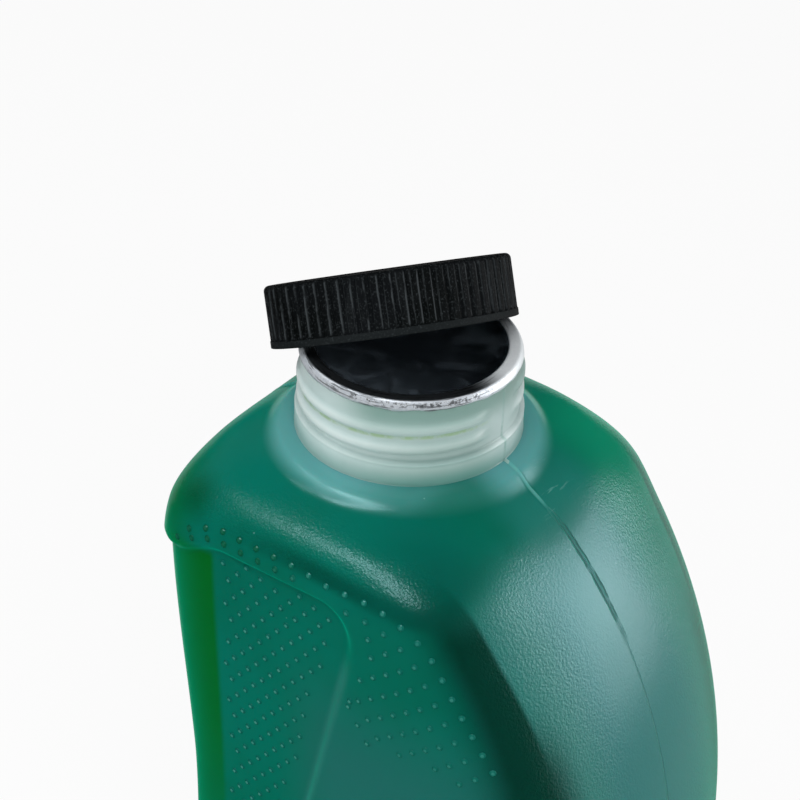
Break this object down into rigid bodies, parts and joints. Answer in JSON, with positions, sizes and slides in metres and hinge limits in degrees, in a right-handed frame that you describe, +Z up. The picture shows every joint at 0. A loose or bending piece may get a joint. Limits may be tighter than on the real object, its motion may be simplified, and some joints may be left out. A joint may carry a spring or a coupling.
{
  "type": "plastic oil bottle with a loose screw cap",
  "caption": "Blown translucent bottle of green liquid with an offset neck, a recessed grip, a foil-sealed mouth and a ribbed screw cap lying loose on it.",
  "frame": {"origin": "on the table, under the middle of the body's width and depth", "axes": "+Z up through the height, +X from the grip end to the rounded end, -Y to the front"},
  "size_m": [0.087, 0.066, 0.2509],
  "materials": {
    "milky_plastic": "satin, translucent",
    "green_liquid": "clear green liquid",
    "foil": "bright, creased",
    "black_plastic": "fine grain",
    "liner_foam": "matt foam"
  },
  "bodies": {
    "bottle": {"bottle_shell": "milky_plastic", "liquid_fill": "green_liquid", "seal_foil": "foil"},
    "liner": {"cap_liner": "liner_foam"},
    "cap": {"screw_cap": "black_plastic"}
  },
  "joints": [
    {"name": "cap_lift", "type": "slide", "parent": "bottle", "child": "liner", "axis": [0, 0, 1], "range_m": [0, 0.06]},
    {"name": "cap_turn", "type": "hinge", "parent": "liner", "child": "cap", "pos_m": [-0.0187, 0.0036, 0.23245], "axis": [-0.4192, 0.3068, 0.8545], "continuous": true}
  ]
}
